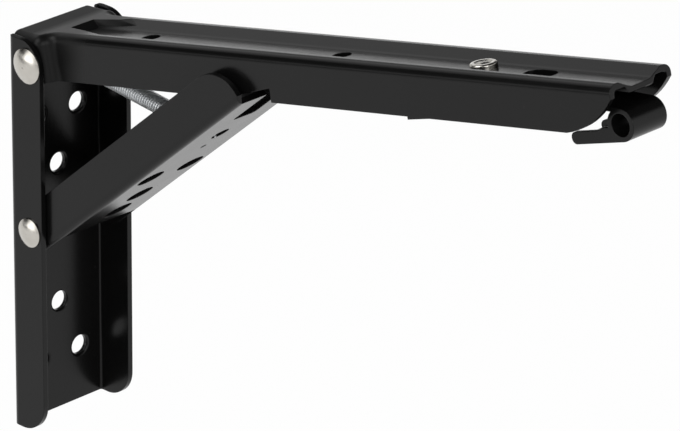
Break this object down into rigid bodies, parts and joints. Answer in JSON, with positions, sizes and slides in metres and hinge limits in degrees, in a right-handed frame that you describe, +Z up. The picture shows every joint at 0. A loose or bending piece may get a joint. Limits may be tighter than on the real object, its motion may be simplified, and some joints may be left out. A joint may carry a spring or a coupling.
{
  "type": "folding shelf bracket",
  "caption": "Black steel folding shelf bracket: wall channel, grooved shelf arm that swings down, strut that locks in the arm's catch, finger release lever and tension spring.",
  "frame": {"origin": "centre of the wall channel's back face, on the wall plane", "axes": "+X out from the wall, +Z up, bracket symmetric about Y = 0"},
  "size_m": [0.1991, 0.0348, 0.15],
  "materials": {
    "black_coating": "satin powder coat",
    "nickel_plating": "polished nickel",
    "zinc_wire": "zinc plated spring wire"
  },
  "bodies": {
    "wall_channel": {"wall_plate": "black_coating", "top_pivot_rivet": "nickel_plating", "strut_rivet_left": "nickel_plating", "strut_rivet_right": "nickel_plating"},
    "arm": {"arm": "black_coating", "lever_rivet": "nickel_plating", "lever_washer": "zinc_wire"},
    "strut": {"strut": "black_coating", "spring_hook_lower": "zinc_wire"},
    "lever": {"release_lever": "black_coating"},
    "spring_upper": {"spring_hook_upper": "zinc_wire", "spring_coil_upper": "zinc_wire"},
    "spring_lower": {"spring_coil_lower": "zinc_wire"}
  },
  "joints": [
    {"name": "arm_fold", "type": "hinge", "parent": "wall_channel", "child": "arm", "pos_m": [0.0074, 0, 0.0475], "axis": [0, 1, 0], "range_deg": [0, 100.6]},
    {"name": "strut_fold", "type": "hinge", "parent": "wall_channel", "child": "strut", "pos_m": [0.0074, 0, 0.0019], "axis": [0, 1, 0], "range_deg": [0, 131.2]},
    {"name": "lever_rock", "type": "hinge", "parent": "arm", "child": "lever", "pos_m": [0.14805, 0, 0.08119], "axis": [0, -1, 0], "range_deg": [0, 2.2], "stiffness_Nm_per_rad": 0.05, "springref_deg": -2.86},
    {"name": "spring_swing", "type": "hinge", "parent": "wall_channel", "child": "spring_upper", "pos_m": [0.0074, 0, 0.0475], "axis": [0, 1, 0], "range_deg": [0, 83.41]},
    {"name": "spring_stretch", "type": "slide", "parent": "spring_upper", "child": "spring_lower", "axis": [0.9871, 0, -0.1601], "range_m": [0, 0.05727], "deforming": ["spring_coil_upper", "spring_coil_lower"]}
  ],
  "couplings": [
    {"joint": "strut_fold", "follows": "arm_fold", "ratio": 1.3041},
    {"joint": "spring_swing", "follows": "arm_fold", "ratio": 0.8291},
    {"joint": "spring_stretch", "follows": "arm_fold", "m_per_rad": 0.03261}
  ]
}
